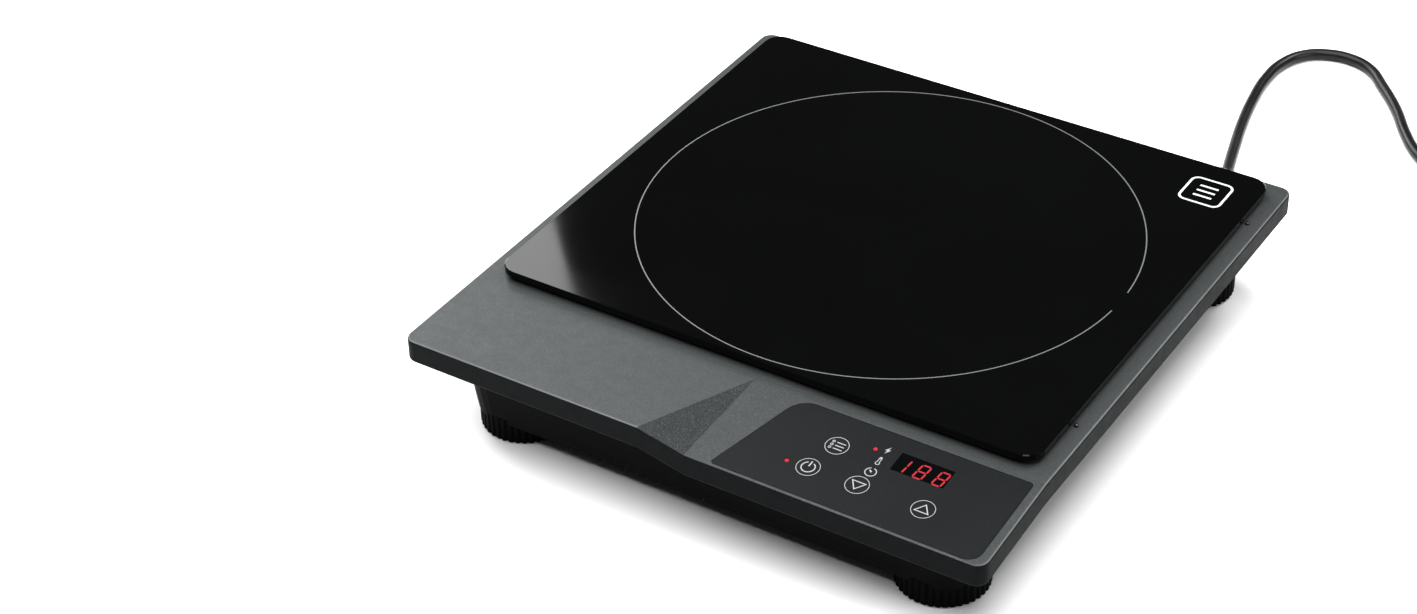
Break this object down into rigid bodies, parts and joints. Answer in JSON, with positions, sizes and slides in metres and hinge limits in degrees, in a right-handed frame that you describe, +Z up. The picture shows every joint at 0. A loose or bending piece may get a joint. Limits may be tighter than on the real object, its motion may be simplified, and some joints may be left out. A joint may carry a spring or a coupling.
{
  "type": "portable induction hob",
  "caption": "Portable single-zone induction hob: black glass plate on a dark sparkle-painted cover, tilted key panel, vented case on ribbed feet, mains cord and plug.",
  "frame": {"origin": "on the floor under the middle of the housing, at the level of the foot pads", "axes": "+Z up, +Y towards the rear where the mains cord leaves, +X to the right, on the control panel's side"},
  "size_m": [0.512, 0.5925, 0.0672],
  "materials": {
    "cover_paint": "dark grey powder paint with a fine metallic sparkle, satin",
    "cooking_glass": "opaque black glass-ceramic, polished, grey printed zone line",
    "seal_silicone": "black silicone bonding strip, satin",
    "panel_foil": "dark grey printed membrane foil, fine satin grain",
    "key_foil": "dark grey membrane foil with light grey printed symbols",
    "display_window": "clear smoked window, black when unlit",
    "led_red": "red diffused light-emitting diode, lit",
    "case_plastic": "black moulded plastic, fine texture",
    "pad_rubber": "black rubber, matt",
    "screw_steel": "zinc-plated steel",
    "screw_black": "black oxide steel",
    "carrier_plastic": "natural glass-filled plastic",
    "coil_copper": "enamelled copper litz wire, wound flat",
    "mica": "pressed mica sheet, matt",
    "sensor_silicone": "white silicone sensor seat",
    "ferrite": "sintered ferrite, matt dark grey",
    "circuit_board": "green solder-masked glass-fibre board",
    "heatsink_aluminium": "extruded aluminium, natural",
    "component_black": "black moulded epoxy",
    "film_capacitor": "yellow potted plastic box",
    "choke_wire": "enamelled copper wire on a ring core",
    "fan_plastic": "black moulded plastic",
    "cord_rubber": "black rubber-sheathed flexible cord, slight gloss",
    "tie_nylon": "black nylon tie",
    "plug_rubber": "black moulded rubber plug body with plated pins"
  },
  "bodies": {
    "hob": {"top_cover": "cover_paint", "glass_plate": "cooking_glass", "glass_seal": "seal_silicone", "control_foil": "panel_foil", "display_lens": "display_window", "led_power": "led_red", "led_mode": "led_red", "bottom_case": "case_plastic", "coil_carrier": "carrier_plastic", "induction_coil": "coil_copper", "mica_sheet": "mica", "temperature_sensor": "sensor_silicone", "power_board": "circuit_board", "heatsink": "heatsink_aluminium", "power_transistor": "component_black", "bridge_rectifier": "component_black", "resonance_capacitor": "film_capacitor", "filter_capacitor": "film_capacitor", "choke": "choke_wire", "control_board": "circuit_board", "display_module": "component_black", "fan_frame": "fan_plastic", "cord_gland": "cord_rubber", "mains_cord": "cord_rubber", "mains_cord_tail": "cord_rubber", "cord_coil": "cord_rubber", "cord_tie": "tie_nylon", "plug": "plug_rubber", "foot_front_left": "case_plastic", "foot_pad_front_left": "pad_rubber", "case_screw_front_left": "screw_steel", "glass_screw_front_left": "screw_black", "foot_front_right": "case_plastic", "foot_pad_front_right": "pad_rubber", "case_screw_front_right": "screw_steel", "glass_screw_front_right": "screw_black", "foot_rear_left": "case_plastic", "foot_pad_rear_left": "pad_rubber", "case_screw_rear_left": "screw_steel", "glass_screw_rear_left": "screw_black", "foot_rear_right": "case_plastic", "foot_pad_rear_right": "pad_rubber", "case_screw_rear_right": "screw_steel", "glass_screw_rear_right": "screw_black", "ferrite_bar_1": "ferrite", "ferrite_bar_2": "ferrite", "ferrite_bar_3": "ferrite", "ferrite_bar_4": "ferrite", "coil_post_1": "pad_rubber", "coil_post_2": "pad_rubber", "coil_post_3": "pad_rubber", "switch_power": "component_black", "switch_function": "component_black", "switch_down": "component_black", "switch_up": "component_black"},
    "key_power": {"key_power": "key_foil"},
    "key_function": {"key_function": "key_foil"},
    "key_down": {"key_down": "key_foil"},
    "key_up": {"key_up": "key_foil"},
    "fan_rotor": {"fan_rotor": "fan_plastic"}
  },
  "joints": [
    {"name": "key_power_press", "type": "slide", "parent": "hob", "child": "key_power", "axis": [0, 0.0958, -0.9954], "range_m": [0, 0.0004], "stiffness_N_per_m": 2500},
    {"name": "key_function_press", "type": "slide", "parent": "hob", "child": "key_function", "axis": [0, 0.0958, -0.9954], "range_m": [0, 0.0004], "stiffness_N_per_m": 2500},
    {"name": "key_down_press", "type": "slide", "parent": "hob", "child": "key_down", "axis": [0, 0.0958, -0.9954], "range_m": [0, 0.0004], "stiffness_N_per_m": 2500},
    {"name": "key_up_press", "type": "slide", "parent": "hob", "child": "key_up", "axis": [0, 0.0958, -0.9954], "range_m": [0, 0.0004], "stiffness_N_per_m": 2500},
    {"name": "fan_spin", "type": "hinge", "parent": "hob", "child": "fan_rotor", "pos_m": [-0.054, 0.098, 0.022], "axis": [0, 0, 1], "continuous": true}
  ]
}
